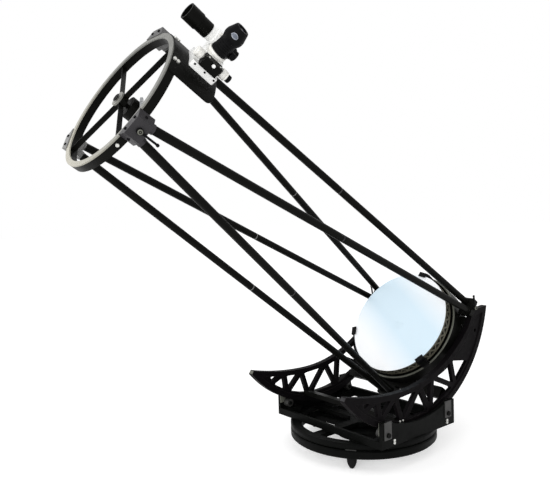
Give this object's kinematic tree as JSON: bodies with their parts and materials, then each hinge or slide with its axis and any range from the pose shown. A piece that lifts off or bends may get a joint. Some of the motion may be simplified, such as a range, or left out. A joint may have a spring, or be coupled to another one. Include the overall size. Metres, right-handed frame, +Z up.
{
  "type": "truss-tube reflecting telescope",
  "caption": "Large open truss reflecting telescope on a rocker base, with altitude crescents on rollers, a turntable, a side focuser, an eyepiece and a finder.",
  "frame": {"origin": "on the floor under the azimuth pivot, in the middle of the three feet", "axes": "+Z up, the altitude axis along X, the tube points along -Y and up at rest"},
  "size_m": [0.701, 1.8399, 1.7429],
  "materials": {
    "black_paint": "satin powder coat",
    "cast_black": "satin, dark brown-black paint on a casting",
    "grey_paint": "satin grey",
    "trim_grey": "satin light grey",
    "bracket_grey": "satin grey",
    "tube_black": "anodised black tube",
    "aluminium_bright": "turned, bright",
    "white_paint": "gloss white",
    "black_plastic": "matte",
    "glass_mirror": "polished, aluminised",
    "rubber_foot": "matte",
    "slide_pad": "smooth",
    "roller_steel": "turned",
    "screw_steel": "satin"
  },
  "bodies": {
    "ground": {"ground_ring": "black_paint", "ground_feet": "rubber_foot", "azimuth_pads": "slide_pad", "pivot_bolt": "screw_steel"},
    "rocker": {"turntable": "black_paint", "side_panel_near": "black_paint", "side_panel_far": "black_paint", "front_rail": "black_paint", "rear_panel": "black_paint", "corner_blocks": "black_paint", "roller_plates": "grey_paint", "roller_axles": "black_paint", "panel_screws": "screw_steel"},
    "tube": {"crescent_near": "cast_black", "crescent_far": "cast_black", "front_tie": "tube_black", "lower_beam": "tube_black", "upper_beam": "tube_black", "mirror_tub": "tube_black", "mirror_carrier": "tube_black", "primary_mirror": "glass_mirror", "mirror_clips": "black_plastic", "collimation_bolts": "aluminium_bright", "truss_tubes_lower": "tube_black", "truss_tubes_upper": "tube_black", "tube_joints": "bracket_grey", "lower_clamp_right": "tube_black", "lower_clamp_back": "tube_black", "lower_clamp_bottom": "tube_black", "upper_ring": "tube_black", "ring_trim": "trim_grey", "upper_bracket_top": "bracket_grey", "upper_bracket_near": "bracket_grey", "upper_bracket_left": "bracket_grey", "spider": "tube_black", "spider_cap": "trim_grey", "ring_screws": "screw_steel", "secondary_holder": "tube_black", "secondary_mirror": "glass_mirror", "focuser_board": "tube_black", "focuser_base": "white_paint", "focuser_body": "white_paint", "pinion_block": "tube_black", "finder_bracket": "white_paint", "finder_tube": "white_paint", "finder_hood": "tube_black", "finder_eyepiece": "tube_black"},
    "roller_front_near": {"roller_front_near": "roller_steel"},
    "roller_rear_near": {"roller_rear_near": "roller_steel"},
    "roller_front_far": {"roller_front_far": "roller_steel"},
    "roller_rear_far": {"roller_rear_far": "roller_steel"},
    "drawtube": {"drawtube": "aluminium_bright"},
    "eyepiece": {"eyepiece": "black_plastic"},
    "pinion": {"pinion_knobs": "aluminium_bright"},
    "fine_knob": {"fine_knob": "black_plastic"},
    "upper_lever_top": {"upper_lever_top": "black_plastic"},
    "upper_lever_near": {"upper_lever_near": "black_plastic"},
    "upper_lever_left": {"upper_lever_left": "black_plastic"},
    "lower_lever_right": {"lower_lever_right": "black_plastic"},
    "lower_lever_back": {"lower_lever_back": "black_plastic"}
  },
  "joints": [
    {"name": "azimuth_turn", "type": "hinge", "parent": "ground", "child": "rocker", "pos_m": [0, 0, 0.084], "axis": [0, 0, 1], "continuous": true},
    {"name": "altitude_tilt", "type": "hinge", "parent": "rocker", "child": "tube", "pos_m": [0, 0, 0.695], "axis": [-1, 0, 0], "range_deg": [-25, 56.5]},
    {"name": "roller_front_near_turn", "type": "hinge", "parent": "rocker", "child": "roller_front_near", "pos_m": [0.286, -0.19902, 0.16269], "axis": [-1, 0, 0], "continuous": true},
    {"name": "roller_rear_near_turn", "type": "hinge", "parent": "rocker", "child": "roller_rear_near", "pos_m": [0.286, 0.19902, 0.16269], "axis": [-1, 0, 0], "continuous": true},
    {"name": "roller_front_far_turn", "type": "hinge", "parent": "rocker", "child": "roller_front_far", "pos_m": [-0.286, -0.19902, 0.16269], "axis": [-1, 0, 0], "continuous": true},
    {"name": "roller_rear_far_turn", "type": "hinge", "parent": "rocker", "child": "roller_rear_far", "pos_m": [-0.286, 0.19902, 0.16269], "axis": [-1, 0, 0], "continuous": true},
    {"name": "focuser_slide", "type": "slide", "parent": "tube", "child": "drawtube", "axis": [0.766, 0.3548, 0.536], "range_m": [-0.006, 0.035]},
    {"name": "eyepiece_lift", "type": "slide", "parent": "drawtube", "child": "eyepiece", "axis": [0.766, 0.3548, 0.536], "range_m": [0, 0.045]},
    {"name": "pinion_turn", "type": "hinge", "parent": "tube", "child": "pinion", "pos_m": [0.26936, -0.95138, 1.54049], "axis": [0, 0.8339, -0.5519], "range_deg": [-69.25, 401.57]},
    {"name": "fine_knob_turn", "type": "hinge", "parent": "tube", "child": "fine_knob", "pos_m": [0.26936, -0.95138, 1.54049], "axis": [0, 0.8339, -0.5519], "range_deg": [-688.05, 4011.2]},
    {"name": "upper_lever_top_swing", "type": "hinge", "parent": "tube", "child": "upper_lever_top", "pos_m": [0, -0.9585, 1.68918], "axis": [0, 0.5519, 0.8339], "range_deg": [0, 100]},
    {"name": "upper_lever_near_swing", "type": "hinge", "parent": "tube", "child": "upper_lever_near", "pos_m": [0.25981, -1.20687, 1.31393], "axis": [0.866, -0.276, -0.4169], "range_deg": [0, 100]},
    {"name": "upper_lever_left_swing", "type": "hinge", "parent": "tube", "child": "upper_lever_left", "pos_m": [-0.25981, -1.20687, 1.31393], "axis": [-0.866, -0.276, -0.4169], "range_deg": [0, 100]},
    {"name": "lower_lever_right_swing", "type": "hinge", "parent": "tube", "child": "lower_lever_right", "pos_m": [0.304, 0.43244, 0.59645], "axis": [1, 0, 0], "range_deg": [-100, 0]},
    {"name": "lower_lever_back_swing", "type": "hinge", "parent": "tube", "child": "lower_lever_back", "pos_m": [-0.304, 0.43244, 0.59645], "axis": [1, 0, 0], "range_deg": [-100, 0]}
  ],
  "couplings": [
    {"joint": "roller_front_near_turn", "follows": "altitude_tilt", "ratio": -30.556},
    {"joint": "roller_rear_near_turn", "follows": "altitude_tilt", "ratio": -30.556},
    {"joint": "roller_front_far_turn", "follows": "altitude_tilt", "ratio": -30.556},
    {"joint": "roller_rear_far_turn", "follows": "altitude_tilt", "ratio": -30.556},
    {"joint": "pinion_turn", "follows": "focuser_slide", "rad_per_m": 200},
    {"joint": "fine_knob_turn", "follows": "focuser_slide", "rad_per_m": 2000}
  ]
}
